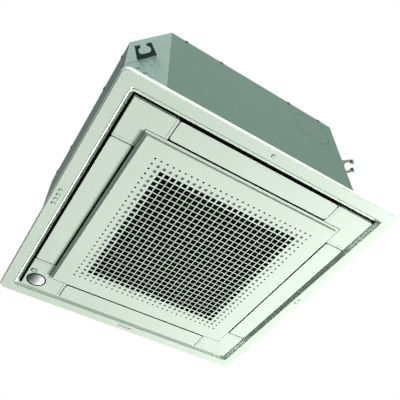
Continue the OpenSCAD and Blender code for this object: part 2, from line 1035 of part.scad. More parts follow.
// Hangers: an upright flange on the cut corner and a slotted plate for the rod
module hanger_plate()
    difference() {
        linear_extrude(hanger_t)
            polygon([[case_diag, -flange_half], [hanger_diag + tip_reach, -tip_half],
                     [hanger_diag + tip_reach, tip_half], [case_diag, flange_half]]);
        translate([hanger_diag, 0, -cut])
            linear_extrude(hanger_t + 2 * cut) {
                for (dir = [-1, 1])
                    translate([0, dir * (slot_w - slot_d) / 2])
                        circle(d = slot_d);
                square([slot_d, slot_w - slot_d], center = true);
                translate([0, -mouth_w / 2])
                    square([tip_reach + cut, mouth_w]);
            }
    }

module hanger_lip(dir)
    mirror([0, dir < 0 ? 1 : 0, 0])
        box([hanger_diag + tip_reach - hanger_t, hanger_diag + tip_reach], [mouth_w / 2, tip_half],
            [-lip_drop, sliver]);

module hanger()
    translate([0, 0, hanger_h]) {
        hanger_plate();
        hanger_lip(1);
        hanger_lip(-1);
        difference() {
            box([case_diag, case_diag + hanger_t], [-flange_half, flange_half],
                [flange_low - hanger_h, sliver]);
            rod_x(hanger_hole_r, case_diag - cut, case_diag + hanger_t + cut, 0, -hanger_hole_drop);
            box([case_diag - cut, case_diag + hanger_t + cut], [-hanger_slot_w / 2, hanger_slot_w / 2],
                [-hanger_slot_drop - hanger_slot_t / 2, -hanger_slot_drop + hanger_slot_t / 2]);
            for (x = [-1, 1], drop = hanger_screw_drop)
                rod_x(case_screw_r + fit_gap, case_diag - cut, case_diag + hanger_t + cut,
                      x * hanger_screw_x, -drop);
        }
    }

module hanger_brackets()
    color("lightsteelblue") place()
        for (k = [0 : 3])
            diagonal(k)
                hanger();

// Foam
module wall_insulation()
    color("white") place()
        difference() {
            octagon_ring(sheet_t, foam_in, pan_top, ceiling_foam);
            rod_x(gas_r + pipe_clear, case_half - foam_in - cut, case_half, gas_y, gas_z);
            rod_x(liquid_r + pipe_clear, case_half - foam_in - cut, case_half, header_x, liquid_z);
            rod_y(drain_r + pipe_clear, pump_at, case_half - foam_in - cut, case_half, outlet_z);
        }

module top_insulation()
    color("white") place()
        difference() {
            octagon_slab(sheet_t + plate_gap, ceiling_foam, plate_top - sheet_t);
            for (k = [0 : 3])
                turn(k)
                    translate([mount_at, mount_at, 0])
                        drum(stud_r + foam_hole_gap, ceiling_foam - cut, plate_top);
            for (dir = [-1, 1])
                translate([pump_at + dir * pump_leg_at, pump_at - dir * pump_leg_at, 0])
                    drum(pump_leg_r + fit_gap, ceiling_foam - cut, plate_top);
        }

module rounded_ring(outer, outer_r, inner, inner_r, low, high)
    difference() {
        round_slab(outer, outer_r, low, high);
        round_slab(inner, inner_r, low - cut, high + cut);
    }

module drain_pan()
    color("snow") place()
        difference() {
            union() {
                octagon_slab(sheet_t, panel_h + sheet_t, pan_top);
                octagon_slab(flange_w + sheet_t, panel_h, pan_top);
            }
            drum(bell_out + pan_hole_gap, panel_h - cut, pan_top + cut);
            for (k = [0 : 3])
                turn(k) {
                    box([-duct_half, duct_half], [duct_in, duct_out], [panel_h - cut, pan_top + cut]);
                    translate([panel_screw_at, panel_screw_at, 0])
                        drum(panel_screw_r + screw_gap, panel_h - cut, panel_h + pan_h / 2 + screw_gap);
                }
            rounded_ring(coil_out + trough_gap, coil_corner_r + trough_gap,
                         coil_in - trough_side, coil_corner_r - coil_t - trough_side / 2,
                         trough_h, pan_top + cut);
            translate([sump_at, sump_at, 0])
                drum(sump_r, trough_h, pan_top + cut);
            rod_x(channel_r, channel_end, case_half, -channel_y, panel_h + channel_h);
            rod_x(bush_hole_r + fit_gap, case_half - flange_w - cut, case_half, -channel_y,
                  panel_h + channel_h);
            translate([channel_end, -channel_y, 0])
                drum(channel_r, panel_h - cut, panel_h + channel_h);
        }

module bell_mouth() {
    function flare(a, off) = [
        bell_throat + (bell_out - bell_throat) * (1 - cos(a)) + off * cos(a),
        bell_top - (bell_top - bell_low) * sin(a) + off * sin(a)];
    color("whitesmoke") place() {
        rotate_extrude($fn = 96)
            polygon(concat([for (i = [0 : curve_steps]) flare(quarter * i / curve_steps, 0)],
                           [for (i = [curve_steps : -1 : 0]) flare(quarter * i / curve_steps, bell_t)]));
        difference() {
            slab(bell_plate_half, bell_low, panel_h);
            drum(bell_out - sliver, bell_low - cut, panel_h + cut);
            translate([channel_end, -channel_y, 0])
                drum(channel_r, bell_low - cut, panel_h + cut);
        }
    }
}

// Fan
function shroud_point(a, off) = [
    eye_r + (fan_r - eye_r) * (1 - cos(a)) + off * cos(a),
    eye_h + shroud_h * sin(a) - off * sin(a)];

module fan_shroud()
    color("gray") place()
        rotate_extrude($fn = 96)
            polygon(concat([for (i = [0 : curve_steps]) shroud_point(quarter * i / curve_steps, 0)],
                           [for (i = [curve_steps : -1 : 0])
                            shroud_point(quarter * i / curve_steps, shroud_t)]));

module blade_plan() {
    spread = (fan_r - blade_gap - blade_in) / curve_steps;
    function middle(i) = let (r = blade_in + i * spread, a = -blade_sweep * i / curve_steps)
        [r * cos(a), r * sin(a)];
    function half_width(i) =
        blade_t / 2 * (1 - pow(abs(2 * i / curve_steps - blade_peak) / blade_taper, 2));
    function across(i) = let (a = 90 - blade_sweep * i / curve_steps - blade_angle) [cos(a), sin(a)];
    polygon(concat([for (i = [0 : curve_steps]) middle(i) + across(i) * half_width(i)],
                   [for (i = [curve_steps : -1 : 0]) middle(i) - across(i) * half_width(i)]));
}

module fan_wheel()
    color("dimgray") place() {
        intersection() {
            for (b = [0 : blade_count - 1])
                rotate([0, 0, 360 * b / blade_count])
                    translate([0, 0, blade_low])
                        linear_extrude(hub_h - blade_low + sliver)
                            blade_plan();
            rotate_extrude($fn = 96)
                polygon(concat([for (i = [0 : curve_steps])
                                shroud_point(quarter * i / curve_steps, -run_gap)],
                               [[fan_r, hub_h + hub_t], [boss_r, hub_h + hub_t],
                                [boss_r, eye_h + shroud_h]]));
        }
        difference() {
            drum(fan_r, hub_h, hub_h + hub_t);
            drum(cup_top_r, hub_h - cut, hub_h + hub_t + cut);
        }
        rotate_extrude($fn = 96)
            polygon([[cup_top_r, hub_h], [cup_top_r, hub_h + hub_t], [cup_top_r - hub_t, hub_h + hub_t],
                     [cup_low_r, hub_h - cup_h + hub_t], [shaft_r + run_gap, hub_h - cup_h + hub_t],
                     [shaft_r + run_gap, hub_h - cup_h], [cup_low_r, hub_h - cup_h]]);
        difference() {
            drum(boss_r, hub_h - cup_h, hub_h - cup_h + boss_h);
            drum(shaft_r + run_gap, hub_h - cup_h - cut, hub_h - cup_h + boss_h + cut);
        }
    }

module fan_shaft()
    color("silver") place()
        drum(shaft_r, hub_h - cup_h - shaft_tail, motor_low + motor_h / 2);

module fan_nut()
    color("silver") place()
        difference() {
            translate([0, 0, hub_h - cup_h - nut_h])
                cylinder(r = nut_r, h = nut_h, $fn = 6);
            drum(shaft_r + run_gap, hub_h - cup_h - nut_h - cut, hub_h);
        }

module fan_motor()
    color("gainsboro") place()
        difference() {
            union() {
                drum(motor_r, motor_low, motor_low + motor_h);
                drum(motor_neck_r, motor_low - motor_neck_h, motor_low + sliver);
            }
            drum(shaft_r + run_gap, motor_low - motor_neck_h - cut, motor_low + motor_h / 2 + fit_gap);
        }

module motor_bracket()
    color("silver") place()
        drum(bracket_r, motor_low + motor_h, motor_low + motor_h + bracket_t);

module motor_mounts()
    color("black") place()
        for (k = [0 : 3])
            turn(k)
                translate([mount_at, mount_at, 0])
                    drum(mount_r, motor_low + motor_h + bracket_t, ceiling_foam);

// Heat exchanger: a ring round the fan, open at the back right corner
module coil_fins()
    color("silver") place()
        difference() {
            rounded_ring(coil_out, coil_corner_r, coil_in, coil_corner_r - coil_t, trough_h, ceiling_foam);
            box([coil_end, case_half], [coil_end, case_half], [0, case_top]);
        }

module at_coil_ends() {
    children();
    mirror([1, -1, 0])
        children();
}

module coil_end_plates()
    color("silver") place()
        at_coil_ends()
            box([coil_end, coil_end + end_plate_t], [coil_in - end_plate_lip, coil_out + end_plate_lip],
                [trough_h, ceiling_foam]);

module return_bends()
    color("peru") place()
        at_coil_ends()
            for (i = [0 : bend_count - 1], dir = [-1, 1])
                translate([coil_end + end_plate_t, (coil_in + coil_out) / 2 + dir * coil_t * row_share,
                           trough_h + bend_low + i * bend_pitch])
                    rotate([90, 0, 0])
                        rotate([0, 0, -90])
                            rotate_extrude(angle = 180)
                                translate([bend_r, 0])
                                    circle(r = tube_r, $fn = 24);

// Pipes
module elbow(r, turn_r)
    rotate_extrude(angle = 90)
        translate([turn_r, 0])
            circle(r = r);

module header(r, low, high)
    translate([header_x, (coil_in + coil_out) / 2, 0])
        drum(r, low, high);

module stubs(low)
    for (i = [0 : stub_count - 1])
        rod_x(tube_r, coil_end + end_plate_t, header_x, (coil_in + coil_out) / 2, low + i * stub_pitch);

module gas_pipe() {
    header_y = (coil_in + coil_out) / 2;
    color("peru") place() {
        header(gas_header_r, gas_z + gas_bend_r, gas_header_top);
        stubs(stub_low);
        translate([header_x, header_y - gas_bend_r, gas_z + gas_bend_r])
            rotate([0, 90, 0])
                elbow(gas_r, gas_bend_r);
        rod_y(gas_r, header_x, gas_y + gas_bend_r - sliver, header_y - gas_bend_r + sliver, gas_z);
        translate([header_x + gas_bend_r, gas_y + gas_bend_r, gas_z])
            rotate([0, 0, 180])
                elbow(gas_r, gas_bend_r);
        rod_x(gas_r, header_x + gas_bend_r - sliver, case_half + union_gap, gas_y, gas_z);
    }
}

module liquid_pipe()
    color("peru") place() {
        mirror([1, -1, 0]) {
            header(liquid_header_r, liquid_header_low - tube_r, gas_header_top);
            stubs(stub_low + tube_r / 2);
        }
        rod_x(liquid_r, (coil_in + coil_out) / 2, case_half + union_gap, header_x, liquid_z);
    }

module flare_union(y, z, hex_r, thread_r, thread_l, bore_r)
    translate([case_half + union_gap, y, z])
        rotate([0, 90, 0])
            difference() {
                union() {
                    cylinder(r = hex_r, h = hex_l, $fn = 6);
                    cylinder(r = thread_r, h = hex_l + thread_l);
                }
                translate([0, 0, hex_l / 2])
                    cylinder(r = bore_r, h = hex_l + thread_l);
            }

module gas_union()
    color("goldenrod") place()
        flare_union(gas_y, gas_z, gas_hex_r, gas_thread_r, gas_thread_l, gas_r - pipe_wall);
module liquid_union()
    color("goldenrod") place()
        flare_union(header_x, liquid_z, liquid_hex_r, liquid_thread_r, liquid_thread_l,
                    liquid_r - pipe_wall);

// Drain
module drain_pump()
    color("whitesmoke") place()
        translate([pump_at, pump_at, 0])
            difference() {
                union() {
                    drum(pump_motor_r, pump_motor_low, pump_motor_low + pump_motor_h);
                    drum(pump_neck_r, pump_cup_low + pump_cup_h - sliver, pump_motor_low + sliver);
                    drum(pump_cup_r, pump_cup_low, pump_cup_low + pump_cup_h);
                    rod_y(outlet_r, 0, 0, outlet_l, outlet_z);
                }
                drum(pump_cup_r - pump_cup_t, pump_cup_low + pump_cup_t,
                     pump_cup_low + pump_cup_h - pump_cup_t);
                drum(pump_hole_r, pump_cup_low - cut, pump_cup_low + pump_cup_t + cut);
                drum(pump_shaft_r + run_gap, pump_cup_low + pump_cup_h - pump_cup_t - cut, pump_bore_top);
                rod_y(outlet_r - outlet_wall, 0, pump_neck_r / 2, outlet_l + cut, outlet_z);
            }

module pump_impeller()
    color("lightgray") place()
        translate([pump_at, pump_at, 0]) {
            drum(pump_shaft_r, impeller_low, pump_shaft_top);
            for (v = [0 : vane_count - 1])
                rotate([0, 0, 360 * v / vane_count])
                    box([0, impeller_r], [-vane_t / 2, vane_t / 2],
                        [impeller_low, impeller_low + impeller_h]);
            drum(impeller_r, impeller_low + impeller_h - sliver, impeller_low + impeller_h + vane_t);
        }

module pump_bracket()
    color("silver") place()
        translate([pump_at, pump_at, 0]) {
            drum(pump_motor_r, pump_motor_low + pump_motor_h,
                 pump_motor_low + pump_motor_h + pump_plate_t);
            for (dir = [-1, 1])
                translate([dir * pump_leg_at, -dir * pump_leg_at, 0])
                    drum(pump_leg_r, pump_motor_low + pump_motor_h + pump_plate_t - sliver,
                         plate_top - sheet_t);
        }

module float_switch()
    color("whitesmoke") place()
        translate([pump_at, pump_at, 0]) {
            difference() {
                union() {
                    drum(pump_neck_r + float_stem_r, float_ring_h, float_ring_h + float_ring_t);
                    box([pump_neck_r, float_x + float_arm_w / 2], [-float_arm_w / 2, float_arm_w / 2],
                        [float_ring_h, float_ring_h + float_ring_t]);
                }
                drum(pump_neck_r + fit_gap, float_ring_h - cut, float_ring_h + float_ring_t + cut);
            }
            translate([float_x, 0, 0]) {
                drum(float_stem_r, float_low - float_stop_t, float_ring_h + sliver);
                drum(float_stop_r, float_low - 2 * float_stop_t, float_low - float_stop_t / 2);
            }
        }

module float()
    color("white") place()
        translate([pump_at + float_x, pump_at, 0])
            difference() {
                drum(float_r, float_low, float_low + float_h);
                drum(float_stem_r + 2 * fit_gap, float_low - cut, float_low + float_h + cut);
            }

module drain_hose()
    color("gray") place()
        difference() {
            rod_y(outlet_r + fit_gap + hose_t, pump_at, pump_at + outlet_l / 2,
                  case_half - foam_in, outlet_z);
            rod_y(outlet_r + fit_gap, pump_at, pump_at, case_half, outlet_z);
        }

module drain_socket()
    color("whitesmoke") place()
        difference() {
            union() {
                rod_y(outlet_r, pump_at, case_half - foam_in - socket_tail, case_half, outlet_z);
                rod_y(drain_r, pump_at, case_half - foam_in + sliver, case_half, outlet_z);
                rod_y(socket_flange_r, pump_at, case_half, case_half + socket_flange_t, outlet_z);
                rod_y(drain_r, pump_at, case_half, case_half + socket_flange_t + drain_l, outlet_z);
            }
            rod_y(outlet_r - outlet_wall, pump_at, case_half - foam_in - socket_tail - cut,
                  case_half + socket_flange_t + drain_l + cut, outlet_z);
        }

// Electric box
module electric_box()
    color("silver") place()
        difference() {
            box([box_in, box_out], [-box_half, box_half], [bell_low - box_h, bell_low]);
            box([box_in + box_wall, box_out - box_wall], [-box_half + box_wall, box_half - box_wall],
                [bell_low - box_h - cut, bell_low - box_wall]);
        }

module box_cover()
    color("lightgray") place() {
        box([box_in, box_out], [-box_half, box_half], [bell_low - box_h - box_wall, bell_low - box_h]);
        difference() {
            box([box_in + box_wall + fit_gap, box_out - box_wall - fit_gap],
                [-box_half + box_wall + fit_gap, box_half - box_wall - fit_gap],
                [bell_low - box_h - sliver, bell_low - box_h + box_lip]);
            box([box_in + 2 * box_wall + fit_gap, box_out - 2 * box_wall - fit_gap],
                [-box_half + 2 * box_wall + fit_gap, box_half - 2 * box_wall - fit_gap],
                [bell_low - box_h - 2 * sliver, bell_low - box_h + box_lip + cut]);
        }
    }

module control_board() {
    mid = (box_in + box_out) / 2;
    roof = bell_low - box_wall;
    color("seagreen") place() {
        box([mid - board_w / 2, mid + board_w / 2],
            [board_shift - board_l / 2, board_shift + board_l / 2],
            [roof - board_drop, roof - board_drop + board_t]);
        for (x = [-1, 1], y = [-1, 1])
            translate([mid + x * board_w * board_foot_share[0],
                       board_shift + y * board_l * board_foot_share[1], 0])
                drum(board_t, roof - board_drop, roof);
        for (i = [-1 : 1])
            box([mid - board_w / 4, mid + board_w / 4],
                [board_shift + i * board_l / 4 - part_h, board_shift + i * board_l / 4 + part_h],
                [roof - board_drop - part_h, roof - board_drop + sliver]);
        box([mid - terminal_w / 2, mid + terminal_w / 2],
            [terminal_shift - terminal_l / 2, terminal_shift + terminal_l / 2],
            [roof - terminal_h, roof]);
    }
}

module cable_bush()
    color("black") place()
        difference() {
            union() {
                rod_x(bush_hole_r, case_half - bush_l, case_half + sliver, -channel_y, panel_h + channel_h);
                rod_x(cable_flange_r, case_half, case_half + cable_flange_t, -channel_y,
                      panel_h + channel_h);
            }
            rod_x(cable_r, case_half - bush_l - cut, case_half + cable_flange_t + cut, -channel_y,
                  panel_h + channel_h);
        }

module air_thermistor()
    color("black") place() {
        box([thermistor_at - thermistor_w / 2, thermistor_at + thermistor_w / 2],
            [-thermistor_w / 2, thermistor_w / 2], [bell_low - thermistor_h, bell_low]);
        rod_x(probe_r, thermistor_at, thermistor_at + probe_l, 0, bell_low - thermistor_h / 2);
    }

panel_frame();
panel_seals();
panel_screws();
flap_front();
flap_right();
flap_back();
flap_left();
flap_bushes();
flap_motors();
corner_cover_front_left();
corner_cover_front_right();
corner_cover_back_right();
sensor_cover();
sensor_ring();
sensor_dome();
receiver_lens();
intake_grille();
grille_hinge_pins();
latch_left();
latch_right();
filter_frame();
filter_mesh();
side_plate_front();
side_plate_right();
side_plate_back();
side_plate_left();
corner_plates();
top_plate();
case_screws();
hanger_brackets();
wall_insulation();
top_insulation();
drain_pan();
bell_mouth();
fan_wheel();
fan_shroud();
fan_shaft();
fan_nut();
fan_motor();
motor_bracket();
motor_mounts();
coil_fins();
coil_end_plates();
return_bends();
gas_pipe();
liquid_pipe();
gas_union();
liquid_union();
drain_pump();
pump_impeller();
pump_bracket();
float_switch();
float();
drain_hose();
drain_socket();
electric_box();
box_cover();
control_board();
cable_bush();
air_thermistor();
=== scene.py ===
"""Looks of the ceiling cassette air conditioner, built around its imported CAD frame. Metres, +Z up."""
import json
import math
import random

import bpy
from mathutils import Matrix, Vector


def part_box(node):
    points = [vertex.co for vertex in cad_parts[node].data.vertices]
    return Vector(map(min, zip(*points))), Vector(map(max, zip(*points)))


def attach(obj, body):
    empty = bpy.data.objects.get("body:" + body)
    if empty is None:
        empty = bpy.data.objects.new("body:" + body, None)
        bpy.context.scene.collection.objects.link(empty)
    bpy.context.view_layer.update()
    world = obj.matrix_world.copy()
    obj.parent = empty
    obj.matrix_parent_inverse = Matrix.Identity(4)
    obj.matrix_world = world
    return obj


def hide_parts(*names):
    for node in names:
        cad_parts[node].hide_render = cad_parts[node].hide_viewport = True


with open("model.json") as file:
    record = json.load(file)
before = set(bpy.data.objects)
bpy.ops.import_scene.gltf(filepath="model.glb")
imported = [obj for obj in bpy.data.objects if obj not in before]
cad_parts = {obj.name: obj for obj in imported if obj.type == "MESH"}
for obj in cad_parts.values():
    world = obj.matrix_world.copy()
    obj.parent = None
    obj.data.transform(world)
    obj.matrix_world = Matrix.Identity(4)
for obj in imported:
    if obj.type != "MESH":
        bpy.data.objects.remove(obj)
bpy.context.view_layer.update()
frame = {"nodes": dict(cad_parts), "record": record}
bpy.context.scene.view_settings.view_transform = "Standard"

HANGER_H = 0.200        # the hangers' slots above the panel's lower face


def h(height):
    """Row height of a point that lies height above the panel's lower face."""
    return height - HANGER_H


# the panel: half widths of its squares, and heights that part its faces
SLOT_OUT = 0.276        # outer wall of the air slots
RIM_IN = 0.2835         # inner edge of the rim's flat, where its bevel ends
MARKS_OUT = 0.306       # the raised squares on the rim end inside it
EDGE_IN = 0.3065        # the rim's outer edge starts outside it
WALL_SHADE_Z = h(0.0052)  # the slots' walls get painted shade above it
SLOT_SHADE_Z = h(0.012)     # everything inside the slots gets painted shade above it
MARKS_Z = h(0.0012)     # the raised squares' edges lie below it
EDGE_Z = h(0.0081)      # so does the rim's outer edge

# the flaps' upright edges
FLAP_EDGE_Z = h(0.0026)
FLAP_SHADE_Z = (h(0.0003), h(0.0008))  # painted shade on them turns to black between these heights

# the grille
PITCH = 0.01295         # from hole to hole
HOLE = 0.0112           # width of an open hole
OPEN_HOLES = 23         # open holes across
EDGE_ROWS = 3           # rows of smaller holes round them
SKIRT = 0.2235          # half width inside its upright skirt
FACE_Z = h(-0.0043)     # its lower face
BACK_Z = h(-0.0018)     # back of its bars
LEDGE_Z = h(-0.0013)    # the ledge round it lies above this
HOLE_SHADE_Z = (FACE_Z + 0.0002, FACE_Z + 0.0013)  # painted shade in its holes turns to black between these heights
DIMPLE_HALF = 0.0036    # half width of a shallow square
DIMPLE_Z = FACE_Z + 0.0009
DIMPLE_DEEP = 0.0008    # thickness of its floor

HANGER_SCREWS = 0.2215  # screws farther than this from both middle lines hold the hangers

# fine lines of painted shade on the rim
LINE_Z = h(-0.00001)
LINE_DEEP = 0.0001
CREASE_IN = RIM_IN + 0.0001
CREASE_OUT = RIM_IN + 0.0012
CREASE_RADIUS = 0.012   # at its corners
CREASE_STEPS = 8        # in a quarter turn
MARK_AT = 0.29675       # the raised squares' row, from the middle
MARK_PITCH = 0.0124
MARK_SHADE_IN = 0.00275     # half widths of the painted shade line round a raised square
MARK_SHADE_OUT = 0.0036

# filter net and foam strips
NET_PITCH = 0.0026
NET_THREAD = 0.0008
SEAL_RINGS = ((0.2750, 0.2800), (0.22432, 0.22832))  # half widths, inside and outside
SEAL_EDGE = 0.0007      # cut-off edges of the strips
SEAL_STEPS = 60         # along a side
SEAL_PRESS = (0.02, 0.14)  # how far they are pressed, as a share of their width


# ---------------------------------------------------------------- camera
AZIMUTH = math.radians(-32.583)
ELEVATION = math.radians(-50.558)
ROLL = math.radians(-0.471)
EYE = Vector((-0.40316, -0.67776, -0.97689))
FOCAL_PX = 518.45
FRAME_PX = 400
SENSOR_MM = 36.0
NEAREST = 0.01
FARTHEST = 50


def make_camera():
    """The camera that was fitted to the photo."""
    back = Vector((math.sin(AZIMUTH) * math.cos(ELEVATION),
                   -math.cos(AZIMUTH) * math.cos(ELEVATION),
                   math.sin(ELEVATION)))
    side = (-back).cross(Vector((0, 0, 1))).normalized()
    top = side.cross(-back)
    right = side * math.cos(ROLL) + top * math.sin(ROLL)
    up = top * math.cos(ROLL) - side * math.sin(ROLL)
    data = bpy.data.cameras.new("camera")
    data.sensor_width = SENSOR_MM
    data.lens = FOCAL_PX / FRAME_PX * SENSOR_MM
    data.clip_start = NEAREST
    data.clip_end = FARTHEST
    camera = bpy.data.objects.new("camera", data)
    camera.matrix_world = Matrix((
        (right.x, up.x, back.x, EYE.x),
        (right.y, up.y, back.y, EYE.y),
        (right.z, up.z, back.z, EYE.z),
        (0, 0, 0, 1)))
    bpy.context.scene.collection.objects.link(camera)
    bpy.context.scene.camera = camera


make_camera()


# ---------------------------------------------------------------- materials
def rgb(r, g, b):
    """A colour read as 0 to 255 on screen, as the linear colour a shader takes."""
    def linear(v):
        v /= 255
        return v / 12.92 if v <= 0.04045 else ((v + 0.055) / 1.055) ** 2.4
    return (linear(r), linear(g), linear(b), 1)


class Shader:
    """A material with one Principled shader and a few node helpers."""

    def __init__(self, name, color, rough, **sockets):
        self.mat = bpy.data.materials.new(name)
        self.mat.use_nodes = True
        self.tree = self.mat.node_tree
        self.main = self.tree.nodes["Principled BSDF"]
        self.color = color
        self.main.inputs["Base Color"].default_value = color
        self.main.inputs["Roughness"].default_value = rough
        for key, value in sockets.items():
            self.main.inputs[key.replace("_", " ").title().replace("Ior", "IOR")].default_value = value
        self.mat.diffuse_color = color
        self.normal = None

    def node(self, kind, **settings):
        made = self.tree.nodes.new(kind)
        for key, value in settings.items():
            setattr(made, key, value)
        return made

    def link(self, a, b):
        self.tree.links.new(a, b)

    def place(self, scale=(1, 1, 1)):
        """Object coordinates, scaled per axis."""
        where = self.node("ShaderNodeTexCoord")
        mapping = self.node("ShaderNodeMapping")
        mapping.inputs["Scale"].default_value = scale
        self.link(where.outputs["Object"], mapping.inputs["Vector"])
        return mapping.outputs["Vector"]

    def axis(self, vector, name):
        split = self.node("ShaderNodeSeparateXYZ")
        self.link(vector, split.inputs[0])
        return split.outputs[name]

    def vector_math(self, operation, vector, other=(0, 0, 0)):
        made = self.node("ShaderNodeVectorMath", operation=operation)
        self.link(vector, made.inputs[0])
        made.inputs[1].default_value = other
        return made

    def noise(self, scale, detail=3, rough=0.5, stretch=(1, 1, 1)):
        made = self.node("ShaderNodeTexNoise")
        made.inputs["Scale"].default_value = scale
        made.inputs["Detail"].default_value = detail
        made.inputs["Roughness"].default_value = rough
        self.link(self.place(stretch), made.inputs["Vector"])
        return made.outputs["Fac"]

    def cells(self, scale, output="Color"):
        made = self.node("ShaderNodeTexVoronoi")
        made.inputs["Scale"].default_value = scale
        self.link(self.place(), made.inputs["Vector"])
        return made.outputs[output]

    def spread(self, value, low, high, out_low, out_high):
        """Value from low to high becomes out_low to out_high, and stays in that range."""
        made = self.node("ShaderNodeMapRange")
        ends = {"From Min": low, "From Max": high, "To Min": out_low, "To Max": out_high}
        for key, number in ends.items():
            made.inputs[key].default_value = number
        self.link(value, made.inputs["Value"])
        return made.outputs["Result"]

    def tint(self, value, dark, light):
        """Base colour times dark where value is 0, and times light where it is 1."""
        mix = self.node("ShaderNodeMix", data_type="RGBA")
        mix.inputs[6].default_value = tuple(min(1, c * dark) for c in self.color[:3]) + (1,)
        mix.inputs[7].default_value = tuple(min(1, c * light) for c in self.color[:3]) + (1,)
        self.link(value, mix.inputs[0])
        self.link(mix.outputs[2], self.main.inputs["Base Color"])

    def overlay(self, value, color):
        """Another colour over the base colour, where value is 1."""
        source = self.main.inputs["Base Color"].links
        mix = self.node("ShaderNodeMix", data_type="RGBA")
        if source:
            self.link(source[0].from_socket, mix.inputs[6])
        else:
            mix.inputs[6].default_value = self.color
        mix.inputs[7].default_value = color
        self.link(value, mix.inputs[0])
        self.link(mix.outputs[2], self.main.inputs["Base Color"])

    def roughen(self, value, low, high):
        self.link(self.spread(value, 0, 1, low, high), self.main.inputs["Roughness"])

    def bump(self, value, distance, strength=1.0):
        made = self.node("ShaderNodeBump")
        made.inputs["Distance"].default_value = distance
        made.inputs["Strength"].default_value = strength
        self.link(value, made.inputs["Height"])
        if self.normal is not None:
            self.link(self.normal, made.inputs["Normal"])
        self.normal = made.outputs["Normal"]
        self.link(self.normal, self.main.inputs["Normal"])


GRAIN = 2600            # noise scale of moulded plastic
WINDOW_EDGE = 0.0002    # half width of the change to black round a window


def plastic(name, color, rough, grain=GRAIN, depth=0.000007, **sockets):
    """Moulded plastic: a fine spark-eroded grain and a faint unevenness of colour."""
    s = Shader(name, color, rough, **sockets)
    s.tint(s.spread(s.noise(9, 2), 0.3, 0.7, 0, 1), 0.985, 1.015)
    s.bump(s.noise(grain, 2, 0.6), depth, 0.35)
    s.roughen(s.noise(60, 3), rough - 0.04, rough + 0.06)
    return s.mat


def sheet_metal(name, color, rough, metal, spangle, contrast, streak=None, **sockets):
    """Galvanised sheet: crystal cells of slightly different grey, and rolling streaks with streak."""
    s = Shader(name, color, rough, metallic=metal, **sockets)
    s.tint(s.cells(spangle), 1 - contrast, 1 + contrast)
    s.roughen(s.noise(240, 4, 0.7), rough - 0.07, rough + 0.08)
    if streak:
        s.bump(s.noise(30, 4, 0.65, streak), 0.00006, 0.5)
    s.bump(s.noise(420, 3), 0.00003, 0.3)
    return s.mat


def cast_foam(name, color):
    """Expanded beads pressed into a skin."""
    s = Shader(name, color, 0.85, specular_ior_level=0.12)
    beads = s.cells(260, output="Distance")
    s.tint(s.spread(beads, 0, 0.6, 0, 1), 1.02, 0.95)
    s.bump(beads, -0.0003, 0.5)
    return s.mat


def soft_foam(name, color):
    """Open-cell foam rubber, with painted shade: darker in its pores, lighter between them."""
    s = Shader(name, color, 0.95, specular_ior_level=0.2)
    pores = s.cells(900, output="Distance")
    s.tint(s.spread(pores, 0, 0.6, 0, 1), 0.7, 1.25)
    s.bump(pores, 0.0004, 0.8)
    return s.mat


def drawn_metal(name, color, rough):
    """Pipe, shaft or brass: fine turning marks and a dull patina."""
    s = Shader(name, color, rough, metallic=1.0)
    s.tint(s.spread(s.noise(45, 4, 0.6), 0.35, 0.7, 0, 1), 0.82, 1.08)
    s.bump(s.noise(700, 3, 0.5, (1, 1, 6)), 0.00003, 0.4)
    s.roughen(s.noise(90, 3), rough - 0.06, rough + 0.1)
    return s.mat


PANEL = rgb(212, 229, 214)
panel_plastic = plastic("panel_plastic", PANEL, 0.48, specular_ior_level=0.3)
black_trim = plastic("black_trim", rgb(12, 15, 13), 0.25, depth=0.000004, specular_ior_level=0.15)
white_plastic = plastic("white_plastic", rgb(208, 214, 208), 0.42)
grey_plastic = plastic("grey_plastic", rgb(112, 120, 112), 0.45)
dark_plastic = plastic("dark_plastic", rgb(12, 13, 12), 0.6, specular_ior_level=0.1)
seal_foam = soft_foam("seal_foam", rgb(34, 36, 34))
rubber = plastic("rubber", rgb(26, 27, 26), 0.7, grain=900, depth=0.00004)
case_steel = sheet_metal("case_steel", rgb(101, 126, 114), 0.6, 0.1, 70, 0.035, specular_ior_level=0.15)
zinc = sheet_metal("zinc", rgb(148, 176, 167), 0.42, 0.4, 110, 0.07, (0.6, 0.6, 14))
# painted shade: a darker copy of zinc for the hangers' slotted plates
zinc_shade = sheet_metal("zinc_shade", rgb(66, 84, 70), 0.5, 0.2, 110, 0.05)
steel = sheet_metal("steel", rgb(170, 178, 172), 0.38, 0.85, 160, 0.05)
foam = cast_foam("foam", rgb(226, 228, 224))
dark_foam = cast_foam("dark_foam", rgb(30, 32, 30))
# painted shade: the panel's own walls inside the slots are coloured black
duct_shade = plastic("duct_shade", rgb(12, 14, 12), 0.8, grain=700, depth=0.0001,
                      specular_ior_level=0.08)
copper = drawn_metal("copper", rgb(196, 120, 84), 0.32)
brass = drawn_metal("brass", rgb(206, 174, 104), 0.28)
shaft_steel = drawn_metal("shaft_steel", rgb(186, 190, 188), 0.25)
# painted shade: black walls of the holes in the grille's outermost row
outer_row_shade = plastic("outer_row_shade", rgb(10, 12, 10), 0.7, specular_ior_level=0.1)
shadow_gap = plastic("shadow_gap", rgb(8, 10, 8), 0.8, specular_ior_level=0.05)
# painted shade: the floors of the grille's shallow squares are coloured darker than its face
dimple_shade = plastic("dimple_shade", rgb(134, 150, 134), 0.5)
# painted shade on the raised squares' edges on the rim, and in the lines round them
mark_shade = plastic("mark_shade", rgb(76, 92, 78), 0.5)
# painted shade along the rim's crease
crease_shade = plastic("crease_shade", rgb(52, 68, 54), 0.6)
# painted highlight: the rim's outer edge is coloured brighter than the panel's plastic
rim_edge_highlight = plastic("rim_edge_highlight", rgb(246, 254, 248), 0.3)


def middle(name):
    """Centre of a CAD node's box."""
    points = [v.co for v in frame["nodes"][name].data.vertices]
    return [(min(p[k] for p in points) + max(p[k] for p in points)) / 2 for k in range(3)]


